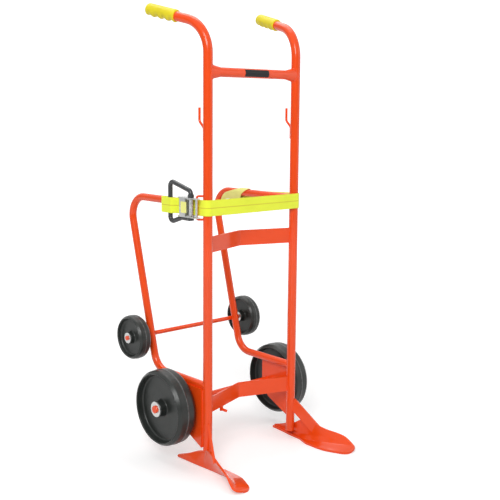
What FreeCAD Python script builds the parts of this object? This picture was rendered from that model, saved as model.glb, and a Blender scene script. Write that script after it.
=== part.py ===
import FreeCAD, Part
import math
import os

V = FreeCAD.Vector
UP = V(0, 0, 1)
ACROSS = V(1, 0, 0)
BACK = V(0, 1, 0)
ORIGIN = V(0, 0, 0)

# Driving sizes in millimetres, for the right-hand (+X) side.
# Uprights and handles
upright_half_spacing = 186.6
upright_od = 30.0
upright_wall = 3.0
upright_foot_z = 28.0
handle_bend_start_z = 1308.0
handle_bend_radius = 105.0
handle_rise_deg = 13.4
handle_splay_deg = 12.2
handle_reach = 243.0

# Hand grips
grip_length = 120.0
grip_od = 37.0
grip_cap = 4.0
grip_end_round = 5.0
finger_count = 4
finger_depth = 2.6
finger_radius = 15.0

# Top cross tube and label plate
cross_tube_z = 1251.0
cross_tube_wall = 2.5
cross_flare_height = 50.0
cross_flare_length = 34.0
label_length = 100.0
label_height = 22.0
label_thickness = 0.8
label_offset_x = 3.0

# Strap hooks
hook_rod = 8.0
hook_low_z = 1043.0
hook_bend_z = 1082.0
hook_out_z = 1102.0
hook_top_z = 1144.0
hook_out = 22.0
hook_bend_radius = 14.0

# Cradle plates
cradle_height = 51.0
cradle_thickness = 6.0
cradle_depth = 60.0
cradle_end_y = -3.0
cradle_bend_radius = 14.0
middle_cradle_z = 719.5
lower_cradle_z = 197.5
peg_out = 106.0
peg_od = 9.0
peg_length = 25.0
peg_lug_width = 13.0
peg_lug_height = 14.0

# Rear frames
rear_tube_od = 25.4
rear_tube_wall = 2.0
rear_top_z = 845.0
rear_top_y = 423.0
rear_low_z = 263.0
rear_low_y = 271.0
rear_bend_radius = 66.0

# Feet
foot_thickness = 8.0
foot_inner_in = 9.6
foot_bend_out = 18.4
foot_edge_out = 6.4
foot_edge_down = 4.4
sole_trim = 1.0
heel_y = 112.0
foot_length = 352.0
toe_inner_run = 49.0
toe_bend_run = 31.0
wall_out_run = 63.0
wall_rise = 46.0
# Shares along the foot: length, run of the inner edge, of the bend and of the wall's edge, and rise of the wall.
FOOT_SHARES = (
    (0.0, 0.653, 0.387, 0.206, 0.087),
    (0.131, 0.571, 0.355, 0.095, 0.435),
    (0.267, 0.449, 0.29, -0.095, 0.87),
    (0.341, 0.408, 0.226, -0.095, 0.826),
    (0.403, 0.388, 0.161, 0.063, 0.739),
    (0.48, 0.224, 0.097, 0.206, 0.783),
    (0.56, 0.061, 0.065, 0.357, 0.891),
    (0.673, 0.051, 0.0, 0.54, 1.0),
    (0.773, 0.102, 0.194, 0.73, 0.87),
    (0.849, 0.28, 0.484, 0.873, 0.739),
    (0.909, 0.469, 0.677, 0.968, 0.457),
    (0.949, 0.592, 0.839, 1.0, 0.239),
    (0.98, 0.755, 0.935, 0.905, 0.109),
    (1.0, 1.0, 1.0, 0.683, 0.03),
)
# Place and height of the crease part way up the wall
CREASE_SHARES = (0.5, 0.42)

# Toe braces
brace_width = 36.0
brace_thickness = 8.0
brace_top_y = -6.0
brace_top_z = 131.0
brace_foot_out = 39.4
brace_foot_y = -81.0
brace_foot_z = 48.0
brace_turn_deg = -13.0

# Axle plates
axle_plate_thickness = 8.0
axle_plate_front_y = 9.0
axle_plate_top_z = 256.0
axle_plate_rear_y = 160.0
axle_plate_shoulder_z = 160.0
axle_plate_chin_y = 130.0
axle_plate_chin_z = 118.0
axle_plate_low_z = 60.0
axle_plate_round = 14.0

# Main wheels and axle
main_axle_y = 136.0
main_axle_z = 175.0
main_axle_od = 25.0
main_axle_overhang = 4.7
main_wheel_od = 250.0
main_wheel_width = 70.0
main_wheel_out = 48.4
main_hub_od = 50.0
main_hub_gap = 6.4
main_rim_thickness = 14.0
main_web_thickness = 22.0
main_tread_round = 7.0
main_parting_height = 0.8
main_parting_width = 3.0
main_washer_od = 50.0
main_washer_thickness = 4.0

# Rear wheels and axle
rear_axle_z = 373.0
rear_axle_od = 15.0
rear_axle_overhang = 4.6
rear_wheel_od = 150.0
rear_wheel_width = 45.0
rear_wheel_out = 47.0
rear_hub_od = 36.0
rear_hub_gap = 20.4
rear_rim_thickness = 11.0
rear_web_thickness = 15.0
rear_tread_round = 6.0
rear_washer_od = 36.0
rear_washer_thickness = 3.0
wheel_fit = 0.06
washer_fit = 0.06
wheel_end_play = 0.3
dish_round = 3.0

# Belt and belt loops
belt_width = 50.0
belt_thickness = 3.0
belt_under_tube = 8.0
belt_gap = 0.3
belt_sling_top_y = 215.0
belt_sling_run = 75.0
belt_sling_slant = 46.0
belt_sling_drop = 12.0
belt_sling_slack = 0.4
belt_through_y = 84.0
loop_rod = 7.0
loop_height = 73.0
loop_reach = 34.0
loop_angle_deg = 36.0
loop_bend_radius = 6.0

# Ratchet buckle
spindle_out = 20.4
spindle_y = 40.0
spindle_od = 19.0
spindle_slot = 4.0
journal_od = 10.0
journal_end = 41.5
disc_od = 28.0
disc_root_od = 22.0
disc_thickness = 2.4
disc_teeth = 10
ratchet_inner_half = 28.0
ratchet_plate_thickness = 3.0
ratchet_front_y = -3.0
ratchet_rear_y = 99.0
ratchet_outer_reach = 14.0
ratchet_corner = 10.0
ratchet_arm_reach = 3.0
ratchet_knee_y = 27.0
ratchet_base_front_y = 66.0
ratchet_bar_od = 7.0
ratchet_front_bar_y = 6.0
ratchet_front_bar_reach = 5.0
ratchet_rear_bar_y = 92.0
cover_front_y = 52.0
cover_rear_y = 81.0
pawl_front_y = 55.5
pawl_rear_y = 81.0
pawl_thickness = 3.0
pawl_side_gap = 0.2
running_fit = 0.05
lever_bar_od = 15.0
lever_grip_y = 145.0
lever_top_rise = 78.0
lever_low_drop = 55.5
lever_shoulder_rise = 51.0
lever_knee_y = 85.0
lever_bend_radius = 14.0
lever_eye_od = 20.0
lever_eye_gap = 0.5
lever_eye_height = 9.0
tail_start_y = 108.0
tail_rise_y = 128.0
tail_fold_y = 175.0
tail_return_y = 150.0
fold_share = 0.98

# One overrun for every cut that must pass a surface
overrun = 20.0

# Values worked out from the sizes above
upright_r = upright_od / 2
rear_tube_r = rear_tube_od / 2
upright_axis = V(upright_half_spacing, 0, 0)
upright_outer_x = upright_half_spacing + upright_r
rear_frame_x = upright_outer_x - rear_tube_r
plate_inner_x = upright_half_spacing + math.sqrt(upright_r ** 2 - axle_plate_front_y ** 2)
plate_outer_x = plate_inner_x + axle_plate_thickness
main_hub_inner_x = plate_outer_x + main_hub_gap
main_wheel_x = plate_outer_x + main_wheel_out
main_washer_x = main_wheel_x + main_wheel_width / 2 + wheel_end_play
main_axle_end_x = main_washer_x + main_washer_thickness + main_axle_overhang
rear_hub_inner_x = upright_outer_x + rear_hub_gap
rear_wheel_x = upright_outer_x + rear_wheel_out
rear_washer_x = rear_wheel_x + rear_wheel_width / 2 + wheel_end_play
rear_axle_end_x = rear_washer_x + rear_washer_thickness + rear_axle_overhang
foot_inner_x = upright_half_spacing - foot_inner_in
foot_bend_x = upright_half_spacing + foot_bend_out
brace_foot_x = upright_half_spacing + brace_foot_out
spindle_x = -upright_outer_x - spindle_out
ratchet_outer_x = spindle_x - ratchet_outer_reach
ratchet_arm_x = spindle_x + ratchet_arm_reach
ratchet_front_bar_x = spindle_x - ratchet_front_bar_reach
belt_z = rear_top_z - belt_under_tube
lever_top_z = belt_z + lever_top_rise
lever_low_z = belt_z - lever_low_drop
lever_shoulder_z = belt_z + lever_shoulder_rise
spindle_r = spindle_od / 2
journal_r = journal_od / 2
lever_bar_r = lever_bar_od / 2
spindle_axis = V(spindle_x, spindle_y, belt_z)
handle_turn = math.radians(90 - handle_rise_deg)
handle_splay = math.radians(handle_splay_deg)
handle_rise = math.radians(handle_rise_deg)
handle_corner = upright_axis + UP * (handle_bend_start_z + handle_bend_radius * math.tan(handle_turn / 2))
handle_level = V(math.sin(handle_splay), math.cos(handle_splay), 0)
handle_dir = handle_level * math.cos(handle_rise) + UP * math.sin(handle_rise)
handle_end = handle_corner + handle_dir * handle_reach


def rounded_path(points, radius):
    """A wire through the points, with each inner corner turned by an arc of the radius."""
    edges = []
    last = points[0]
    for before, corner, after in zip(points[:-2], points[1:-1], points[2:]):
        u = (before - corner).normalize()
        v = (after - corner).normalize()
        half = u.getAngle(v) / 2
        run = radius / math.tan(half)
        start = corner + u * run
        end = corner + v * run
        middle = corner + (u + v).normalize() * (radius / math.sin(half) - radius)
        edges.append(Part.makeLine(last, start))
        edges.append(Part.Arc(start, middle, end).toShape())
        last = end
    edges.append(Part.makeLine(last, points[-1]))
    return Part.Wire(edges)


def round_bar(points, bend, radius):
    """A round bar along the rounded path: rods on its straight runs, ring pieces round its bends."""
    pieces = []
    for edge in rounded_path(points, bend).Edges:
        start = edge.valueAt(edge.FirstParameter)
        along = edge.tangentAt(edge.FirstParameter)
        if edge.Curve.TypeId == "Part::GeomCircle":
            disc = Part.Face(Part.Wire(Part.makeCircle(radius, start, along)))
            turn = math.degrees(edge.LastParameter - edge.FirstParameter)
            pieces.append(disc.revolve(edge.Curve.Center, edge.Curve.Axis, turn))
        else:
            pieces.append(Part.makeCylinder(radius, edge.Length, start, along))
    return pieces[0].fuse(pieces[1:])


def tube(points, bend, radius, wall):
    """A round tube: the bar less its bore."""
    return round_bar(points, bend, radius).cut(round_bar(points, bend, radius - wall))


def prism(points, run):
    """A flat closed outline pushed along the run."""
    return Part.Face(Part.makePolygon(list(points) + [points[0]])).extrude(run)


def rod(centre, axis, length, radius):
    """A round rod with its middle at the centre."""
    return Part.makeCylinder(radius, length, centre - axis * (length / 2), axis)


def spun(profile, centre):
    """A profile of (x, radius) points turned round the line through the centre along X."""
    points = [V(x, centre.y, centre.z + r) for x, r in profile]
    face = Part.Face(Part.makePolygon(points + [points[0]]))
    return face.revolve(centre, ACROSS, 360)


def band(path):
    """Webbing on edge: the plan path thickened to its outer side and raised to the belt's width."""
    face = path.makeOffset2D(-belt_thickness, 0, True, True)
    return face.extrude(UP * belt_width)


def left(shape):
    return shape.mirror(ORIGIN, ACROSS)


def group(shapes):
    return Part.makeCompound(shapes)


def upright_core():
    """The full round of the lower upright, used to trim what is welded to it."""
    return Part.makeCylinder(upright_r, handle_bend_start_z, upright_axis, UP)


def upright():
    points = [upright_axis + UP * upright_foot_z, handle_corner, handle_end]
    return tube(points, handle_bend_radius, upright_r, upright_wall)


def grip():
    start = handle_end - handle_dir * (grip_length - grip_cap)
    body = Part.makeCylinder(grip_od / 2, grip_length, start, handle_dir)
    far_rim = max(body.Edges, key=lambda e: (e.CenterOfMass - start).dot(handle_dir))
    body = body.makeFillet(grip_end_round, [far_rim])
    sideways = handle_dir.cross(UP).normalize()
    down = handle_dir.cross(sideways).normalize()
    pitch = (grip_length - grip_end_round) / finger_count
    for i in range(finger_count):
        along = pitch * (i + 1 / 2)
        middle = start + handle_dir * along + down * (grip_od / 2 + finger_radius - finger_depth)
        body = body.cut(rod(middle, sideways, 2 * grip_od, finger_radius))
    bore = Part.makeCylinder(upright_r, grip_length - grip_cap, start, handle_dir)
    return body.cut(bore).removeSplitter()


def cross_tube():
    half = upright_half_spacing
    flare_end = half - upright_r - cross_flare_length
    centre = V(half, 0, cross_tube_z)
    oval = Part.Ellipse(centre + UP * (cross_flare_height / 2), centre + BACK * upright_r, centre)
    ring = Part.makeCircle(upright_r, V(flare_end, 0, cross_tube_z), ACROSS)
    flare = Part.makeLoft([Part.Wire(ring), Part.Wire(oval.toShape())], True)
    body = rod(V(0, 0, cross_tube_z), ACROSS, 2 * half, upright_r)
    body = body.fuse(flare).fuse(left(flare))
    body = body.cut(rod(V(0, 0, cross_tube_z), ACROSS, 2 * half, upright_r - cross_tube_wall))
    return body.cut(upright_core()).cut(left(upright_core()))


def label_plate():
    centre = V(label_offset_x, 0, cross_tube_z)
    shell = rod(centre, ACROSS, label_length, upright_r + label_thickness)
    shell = shell.cut(rod(centre, ACROSS, label_length + overrun, upright_r))
    keep = Part.makeBox(label_length, upright_od, label_height)
    keep.translate(centre - ACROSS * (label_length / 2) - BACK * upright_od - UP * (label_height / 2))
    return shell.common(keep)


def strap_hook():
    y = upright_r + hook_rod / 2
    x = upright_half_spacing
    points = [V(x, y, hook_low_z), V(x, y, hook_bend_z), V(x, y + hook_out, hook_out_z),
              V(x, y + hook_out, hook_top_z)]
    return round_bar(points, hook_bend_radius, hook_rod / 2)


def cradle_bar(low, height):
    """A flat bar on edge from upright to upright, bent once in the middle."""
    end = V(upright_half_spacing, cradle_end_y, low)
    points = [end, V(0, cradle_depth, low), V(-end.x, end.y, low)]
    face = rounded_path(points, cradle_bend_radius).makeOffset2D(cradle_thickness, 0, True, True)
    return face.extrude(UP * height)


def cradle_plate(z):
    """The bent bar trimmed to the uprights."""
    bar = cradle_bar(z - cradle_height / 2, cradle_height)
    bar = bar.cut(upright_core()).cut(left(upright_core()))
    return max(bar.Solids, key=lambda s: s.Volume)


def cradle_peg():
    """A round peg pointing forward from a lug under the left half of the lower cradle plate."""
    low = lower_cradle_z - cradle_height / 2 - peg_lug_height
    window = Part.makeBox(peg_lug_width, 2 * cradle_depth, peg_lug_height)
    window.translate(V(-peg_out - peg_lug_width / 2, 0, low))
    lug = cradle_bar(low, peg_lug_height).common(window)
    root_y = lug.BoundBox.Center.y
    peg = Part.makeCylinder(peg_od / 2, peg_length, V(-peg_out, root_y, low + peg_od / 2), -BACK)
    return lug.fuse(peg).removeSplitter()


def rear_frame():
    x = rear_frame_x
    points = [V(x, 0, rear_top_z), V(x, rear_top_y, rear_top_z), V(x, rear_low_y, rear_low_z), V(x, 0, rear_low_z)]
    frame = tube(points, rear_bend_radius, rear_tube_r, rear_tube_wall).cut(upright_core())
    return max(frame.Solids, key=lambda s: s.Volume)


def foot_section(wall_depth, along, inner_run, bend_run, wall_run, rise):
    """One closed cross-section of the foot: a narrow sole and a creased wall turned up at its outer side."""
    y = heel_y - along * foot_length
    inner = V(foot_inner_x + inner_run * toe_inner_run, y, foot_thickness)
    bend = V(foot_bend_x + bend_run * toe_bend_run, y, foot_thickness)
    edge = V(foot_bend_x + wall_run * wall_out_run, y, foot_thickness + rise * wall_rise)
    place, height = CREASE_SHARES
    crease = V(bend.x + place * (edge.x - bend.x), y, bend.z + height * (edge.z - bend.z))
    shift = V(wall_depth, 0, -foot_edge_down)
    low = [edge + shift, crease + shift, V(bend.x + foot_edge_down, y, -sole_trim), V(inner.x, y, -sole_trim)]
    return Part.makePolygon([inner, bend, crease, edge] + low + [inner])


def foot_plate(wall_depth):
    """A pointed heel, a wall that leans in to the upright, then out round a dished spoon toe."""
    return Part.makeLoft([foot_section(wall_depth, *shares) for shares in FOOT_SHARES], True, True)


def foot():
    """The plate trimmed flat at the floor, with a seat for the end of the upright."""
    seat = Part.makeCylinder(upright_r, handle_bend_start_z, upright_axis + UP * upright_foot_z, UP)
    wide = foot_bend_x - foot_inner_x + wall_out_run + 2 * overrun
    below = Part.makeBox(wide, foot_length + 2 * overrun, overrun)
    below.translate(V(foot_inner_x - overrun, heel_y - foot_length - overrun, -overrun))
    return foot_plate(foot_edge_out).cut(below).cut(seat)


def toe_brace():
    """A flat bar from the front of the upright down to the toe's wall, cut off flush with the wall's inner side."""
    top = V(upright_half_spacing, brace_top_y, brace_top_z)
    run = V(brace_foot_x, brace_foot_y, brace_foot_z) - top
    along = V(run).normalize()
    side = along.cross(UP).normalize()
    lean = FreeCAD.Rotation(along, brace_turn_deg)
    thin = lean.multVec(side)
    wide = along.cross(thin)
    start = top - wide * (brace_width / 2) - thin * (brace_thickness / 2)
    face = [start, start + wide * brace_width, start + wide * brace_width + thin * brace_thickness,
            start + thin * brace_thickness]
    bar = prism(face, run + along * overrun)
    bar = bar.cut(upright_core()).cut(foot_plate(brace_width))
    return max(bar.Solids, key=lambda s: s.CenterOfMass.z * s.Volume)


def axle_plate():
    """A flat plate beside the upright, holding the axle and fitted up against the lower rear tube."""
    x = plate_inner_x
    outline = [V(x, axle_plate_front_y, axle_plate_low_z), V(x, axle_plate_chin_y, axle_plate_chin_z),
               V(x, axle_plate_rear_y, axle_plate_shoulder_z), V(x, axle_plate_rear_y, axle_plate_top_z),
               V(x, axle_plate_front_y, axle_plate_top_z)]
    plate = prism(outline, ACROSS * axle_plate_thickness)
    rear = [e for e in plate.Edges if e.BoundBox.XLength > axle_plate_thickness / 2
            and e.CenterOfMass.y > axle_plate_front_y + axle_plate_round]
    plate = plate.makeFillet(axle_plate_round, rear)
    plate = plate.cut(Part.makeCylinder(rear_tube_r, rear_low_y, V(rear_frame_x, 0, rear_low_z), BACK))
    return plate.cut(rod(V(0, main_axle_y, main_axle_z), ACROSS, 2 * main_axle_end_x, main_axle_od / 2))


def wheel(x, centre, od, width, hub_od, hub_inner_x, rim, web, tread_round, bore, ridge):
    """A dished wheel: tread, rim and thin web round a long hub, turned as one profile."""
    outer = x + width / 2
    inner = x - width / 2
    r = od / 2
    rim_r = r - rim
    hub_r = hub_od / 2
    web_out = x + web / 2
    web_in = x - web / 2
    profile = [(hub_inner_x, bore), (outer, bore), (outer, hub_r), (web_out, hub_r + dish_round),
               (web_out, rim_r - dish_round), (web_out + dish_round, rim_r), (outer, rim_r + dish_round),
               (outer, r - tread_round), (outer - tread_round / 2, r - tread_round / 4), (outer - tread_round, r)]
    for step, height in ridge:
        profile.append((x + step, r + height))
    profile += [(inner + tread_round, r), (inner + tread_round / 2, r - tread_round / 4), (inner, r - tread_round),
                (inner, rim_r + dish_round), (web_in - dish_round, rim_r), (web_in, rim_r - dish_round),
                (web_in, hub_r + dish_round), (hub_inner_x, hub_r)]
    return spun(profile, centre)


def rear_axle_y():
    """Where the rear axle touches the back of the slanting leg of the rear frame."""
    run = (rear_top_y - rear_low_y) / (rear_top_z - rear_low_z)
    leg_y = rear_low_y + run * (rear_axle_z - rear_low_z)
    return leg_y + (rear_tube_r + rear_axle_od / 2) * math.sqrt(1 + run ** 2)


def main_wheel():
    half = main_parting_width / 2
    ridge = ((half, 0), (0, main_parting_height), (-half, 0))
    return wheel(main_wheel_x, V(0, main_axle_y, main_axle_z), main_wheel_od, main_wheel_width, main_hub_od,
                 main_hub_inner_x, main_rim_thickness, main_web_thickness, main_tread_round,
                 main_axle_od / 2 + wheel_fit, ridge)


def rear_wheel():
    return wheel(rear_wheel_x, V(0, rear_axle_y(), rear_axle_z), rear_wheel_od, rear_wheel_width, rear_hub_od,
                 rear_hub_inner_x, rear_rim_thickness, rear_web_thickness, rear_tread_round,
                 rear_axle_od / 2 + wheel_fit, ())


def washer(x, thickness, centre, od, bore_od):
    """A washer with its inner face at x."""
    return spun([(x, bore_od / 2 + washer_fit), (x + thickness, bore_od / 2 + washer_fit), (x + thickness, od / 2),
                 (x, od / 2)], centre)


def main_washers():
    centre = V(0, main_axle_y, main_axle_z)
    spacer = main_hub_inner_x - wheel_end_play - plate_outer_x
    pair = [washer(plate_outer_x, spacer, centre, main_washer_od, main_axle_od),
            washer(main_washer_x, main_washer_thickness, centre, main_washer_od, main_axle_od)]
    return group(pair + [left(w) for w in pair])


def rear_washers():
    centre = V(0, rear_axle_y(), rear_axle_z)
    inner_x = rear_hub_inner_x - wheel_end_play - rear_washer_thickness
    pair = [washer(inner_x, rear_washer_thickness, centre, rear_washer_od, rear_axle_od),
            washer(rear_washer_x, rear_washer_thickness, centre, rear_washer_od, rear_axle_od)]
    return group(pair + [left(w) for w in pair])


def belt_loop():
    """A staple of rod beside the upright, its two legs set into the tube's side."""
    angle = math.radians(loop_angle_deg)
    outward = V(math.cos(angle), math.sin(angle), 0)
    root = upright_axis + UP * belt_z
    half = UP * (loop_height / 2)
    points = [root + half, root + outward * loop_reach + half, root + outward * loop_reach - half, root - half]
    return round_bar(points, loop_bend_radius, loop_rod / 2).cut(upright_core())


def belt():
    """Webbing from the right rear frame round both uprights and past the spindle of the buckle."""
    low = belt_z - belt_width / 2
    wrap = upright_r + belt_gap
    x = upright_half_spacing + wrap
    entry_x = spindle_x + spindle_r + belt_gap + belt_thickness
    points = [V(x, wrap, low), V(x, -wrap, low), V(-x, -wrap, low), V(entry_x, spindle_y, low),
              V(entry_x, belt_through_y, low)]
    run = band(rounded_path(points, wrap))
    back_y = belt_sling_top_y + belt_sling_run
    drop = UP * belt_sling_drop
    side = [V(x, wrap, low), V(x, wrap, low + belt_width), V(x, back_y, low + belt_width) - drop,
            V(x, back_y, low) - drop]
    run = run.fuse(prism(side, ACROSS * belt_thickness))
    return run.fuse(belt_sling()).removeSplitter()


def belt_sling():
    """The belt's end slung slantwise round the top leg of the right rear frame."""
    inner = rear_tube_r + belt_gap + belt_sling_slack
    start = V(rear_frame_x, 0, rear_top_z)
    outer_r = inner + belt_thickness
    sleeve = Part.makeCylinder(outer_r, rear_top_y, start, BACK)
    sleeve = sleeve.cut(Part.makeCylinder(inner, rear_top_y, start, BACK))
    x = rear_frame_x - outer_r
    top = rear_top_z + outer_r
    low = rear_top_z - outer_r
    y = belt_sling_top_y
    slab = [V(x, y, top), V(x, y + belt_sling_run, top), V(x, y + belt_sling_run + belt_sling_slant, low),
            V(x, y + belt_sling_slant, low)]
    return sleeve.common(prism(slab, ACROSS * (2 * outer_r)))


def belt_tail():
    """The belt's tail leaving the buckle and folded round the grip of the lever."""
    low = belt_z - belt_width / 2
    reach = lever_bar_r + belt_gap
    near = spindle_x + reach
    far = spindle_x - reach
    fold = tail_fold_y + reach
    points = [V(near, tail_start_y, low), V(far, tail_rise_y, low), V(far, fold, low), V(near, fold, low),
              V(near, tail_return_y, low)]
    return band(rounded_path(points, reach * fold_share))


def side_plate(z):
    """One side plate of the buckle, flat across the belt's edge, with a hole for the spindle."""
    x = -upright_outer_x
    outline = [V(x, ratchet_base_front_y, z), V(ratchet_arm_x, ratchet_knee_y, z),
               V(ratchet_arm_x, ratchet_front_y, z), V(ratchet_outer_x + ratchet_corner, ratchet_front_y, z),
               V(ratchet_outer_x, ratchet_front_y + ratchet_corner, z),
               V(ratchet_outer_x, ratchet_rear_y - ratchet_corner, z),
               V(ratchet_outer_x + ratchet_corner, ratchet_rear_y, z), V(x, ratchet_rear_y, z)]
    plate = prism(outline, UP * ratchet_plate_thickness)
    hole = Part.makeCylinder(journal_r + running_fit, ratchet_plate_thickness, V(spindle_x, spindle_y, z), UP)
    return plate.cut(hole)


def ratchet_frame():
    """Two side plates joined by the base on the rear frame, a cover plate and two cross bars."""
    half = ratchet_inner_half
    outer = half + ratchet_plate_thickness
    frame = side_plate(belt_z + half).fuse(side_plate(belt_z - outer))
    base = Part.makeBox(ratchet_plate_thickness, ratchet_rear_y - ratchet_base_front_y, 2 * outer)
    base.translate(V(-upright_outer_x - ratchet_plate_thickness, ratchet_base_front_y, belt_z - outer))
    cover = Part.makeBox(ratchet_plate_thickness, cover_rear_y - cover_front_y, 2 * outer)
    cover.translate(V(ratchet_outer_x, cover_front_y, belt_z - outer))
    frame = frame.fuse(base).fuse(cover)
    for x, y in ((ratchet_front_bar_x, ratchet_front_bar_y), (spindle_x, ratchet_rear_bar_y)):
        frame = frame.fuse(rod(V(x, y, belt_z), UP, 2 * outer, ratchet_bar_od / 2))
    return frame.removeSplitter()


def toothed_disc(z):
    """A ratchet disc of slanting teeth at height z."""
    points = []
    for i in range(disc_teeth):
        start = 2 * math.pi * i / disc_teeth
        for r in (disc_root_od / 2, disc_od / 2):
            points.append(V(spindle_x + r * math.cos(start), spindle_y + r * math.sin(start), z))
    return prism(points, UP * disc_thickness)


def ratchet_spindle():
    """A slotted shaft with a toothed disc and a journal at each end."""
    shaft_half = belt_width / 2 + belt_gap
    shaft = rod(spindle_axis, UP, 2 * shaft_half, spindle_r)
    slot = Part.makeBox(spindle_od, spindle_slot, belt_width)
    slot.translate(spindle_axis - V(spindle_r, spindle_slot / 2, belt_width / 2))
    shaft = shaft.cut(slot)
    shaft = shaft.fuse(toothed_disc(belt_z + shaft_half)).fuse(toothed_disc(belt_z - shaft_half - disc_thickness))
    pin = rod(spindle_axis, UP, 2 * journal_end, journal_r)
    core = rod(spindle_axis, UP, 2 * shaft_half, spindle_r)
    return shaft.fuse(pin.cut(core))


def ratchet_pawl():
    height = 2 * (ratchet_inner_half - pawl_side_gap)
    plate = Part.makeBox(pawl_thickness, pawl_rear_y - pawl_front_y, height)
    plate.translate(V(spindle_x - pawl_thickness / 2, pawl_front_y, belt_z - height / 2))
    return plate


def ratchet_lever():
    """A ring of coated bar with an eye on each end of the spindle."""
    eye_low = ratchet_inner_half + ratchet_plate_thickness + lever_eye_gap
    eye_mid = eye_low + lever_eye_height / 2
    points = [spindle_axis + UP * eye_mid, V(spindle_x, spindle_y, lever_shoulder_z),
              V(spindle_x, lever_grip_y, lever_top_z),
              V(spindle_x, lever_grip_y, lever_low_z), V(spindle_x, lever_knee_y, belt_z - eye_mid),
              spindle_axis - UP * eye_mid]
    ring = round_bar(points, lever_bend_radius, lever_bar_r)
    for side in (1, -1):
        ring = ring.fuse(rod(spindle_axis + UP * (side * eye_mid), UP, lever_eye_height, lever_eye_od / 2))
    clear = Part.makeBox(2 * lever_eye_od, lever_grip_y - spindle_y, 2 * eye_low)
    clear.translate(spindle_axis - V(lever_eye_od, lever_eye_od, eye_low))
    bore = rod(spindle_axis, UP, 2 * journal_end + overrun, journal_r + running_fit)
    return ring.cut(clear).cut(bore)


def build():
    os.makedirs("parts", exist_ok=True)
    paired = {
        "upright": upright, "grip": grip, "strap_hook": strap_hook, "rear_frame": rear_frame, "foot": foot,
        "toe_brace": toe_brace, "axle_plate": axle_plate, "main_wheel": main_wheel, "rear_wheel": rear_wheel,
        "belt_loop": belt_loop,
    }
    single = {
        "top_cross_tube": cross_tube(), "label_plate": label_plate(),
        "middle_cradle_plate": cradle_plate(middle_cradle_z), "lower_cradle_plate": cradle_plate(lower_cradle_z),
        "cradle_peg": cradle_peg(),
        "main_axle": rod(V(0, main_axle_y, main_axle_z), ACROSS, 2 * main_axle_end_x, main_axle_od / 2),
        "rear_axle": rod(V(0, rear_axle_y(), rear_axle_z), ACROSS, 2 * rear_axle_end_x, rear_axle_od / 2),
        "main_washers": main_washers(), "rear_washers": rear_washers(), "belt": belt(), "belt_tail": belt_tail(),
        "ratchet_frame": ratchet_frame(), "ratchet_spindle": ratchet_spindle(), "ratchet_pawl": ratchet_pawl(),
        "ratchet_lever": ratchet_lever(),
    }
    for name, make in paired.items():
        shape = make()
        single[name + "_right"] = shape
        single[name + "_left"] = left(shape)
    middle_y = group(list(single.values())).optimalBoundingBox(False).Center.y
    for name, shape in single.items():
        shape.translate(BACK * -middle_y)
        shape.exportStep("parts/" + name + ".step")


build()
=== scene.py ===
import math

import bpy
import numpy as np
from mathutils import Matrix, Vector


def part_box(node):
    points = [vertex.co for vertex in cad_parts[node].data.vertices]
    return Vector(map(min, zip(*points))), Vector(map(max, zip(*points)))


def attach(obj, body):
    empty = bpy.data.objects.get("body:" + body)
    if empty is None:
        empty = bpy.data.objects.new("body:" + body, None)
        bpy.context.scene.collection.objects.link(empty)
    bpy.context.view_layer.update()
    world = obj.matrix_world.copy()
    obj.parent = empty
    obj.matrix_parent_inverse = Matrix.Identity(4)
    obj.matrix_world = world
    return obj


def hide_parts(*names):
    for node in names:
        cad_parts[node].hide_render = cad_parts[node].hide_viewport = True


bl_info = {
    "name": "Drum trolley",
    "version": (1, 0, 0),
    "blender": (4, 5, 0),
    "location": "3D View > Sidebar > Trolley",
    "description": "Dresses the packed frame of a drum trolley with its grips, webbing, finishes and stage",
    "category": "Object",
}

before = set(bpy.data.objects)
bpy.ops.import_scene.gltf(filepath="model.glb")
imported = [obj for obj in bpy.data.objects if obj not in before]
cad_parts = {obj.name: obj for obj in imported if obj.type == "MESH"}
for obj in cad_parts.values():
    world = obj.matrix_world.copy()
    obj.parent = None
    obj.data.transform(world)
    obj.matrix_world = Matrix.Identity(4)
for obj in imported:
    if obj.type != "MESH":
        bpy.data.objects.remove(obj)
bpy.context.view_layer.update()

ROOT = "trolley_frame"
LEVER = "lever"
SIDES = {"right": 1.0, "left": -1.0}
PAINT = "Orange-red powder coat"
WEBBING = "Woven webbing"

# Boxes of the nodes that the belt and its tail are set out from
TAIL_LOW, TAIL_HIGH = (np.array(corner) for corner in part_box("belt_tail"))
SPINDLE_LOW, SPINDLE_HIGH = (np.array(corner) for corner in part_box("ratchet_spindle"))
SPINDLE = (SPINDLE_LOW + SPINDLE_HIGH) / 2

# Nodes that keep their solids and get the frame's paint
PAINTED = [
    "upright_right", "upright_left", "top_cross_tube", "strap_hook_right", "strap_hook_left",
    "middle_cradle_plate", "lower_cradle_plate", "cradle_peg", "rear_frame_right", "rear_frame_left",
    "toe_brace_right", "toe_brace_left", "axle_plate_right", "axle_plate_left", "belt_loop_right",
    "belt_loop_left", "main_axle", "rear_axle",
]

# Tubes, in metres and radians, as the frame has them
UPRIGHT_X = 0.1866
UPRIGHT_Y = -0.0881246
UPRIGHT_R = 0.015
HANDLE_BEND_START = 1.308
HANDLE_BEND_R = 0.105
HANDLE_RISE = math.radians(13.4)
HANDLE_SPLAY = math.radians(12.2)
HANDLE_REACH = 0.243
REAR_TUBE_R = 0.0127
REAR_TUBE_Z = 0.845
REAR_TUBE_X = UPRIGHT_X + UPRIGHT_R - REAR_TUBE_R
REAR_BEND_Y = UPRIGHT_Y + 0.3375
REAR_BEND_R = 0.066
SPINDLE_R = 0.0095

# Grips: cap over the tube's end, share of the round end, lip at the start, ribs on top, spread of the hollows
GRIP_CAP = 0.004
GRIP_ROUND = 0.45
GRIP_LIP = 0.003
GRIP_LIP_SHARE = 0.09
GRIP_RIB_HEIGHT = 0.00025
GRIP_RIB_PITCH = 0.004
FINGER_SPREAD = 0.8

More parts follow.
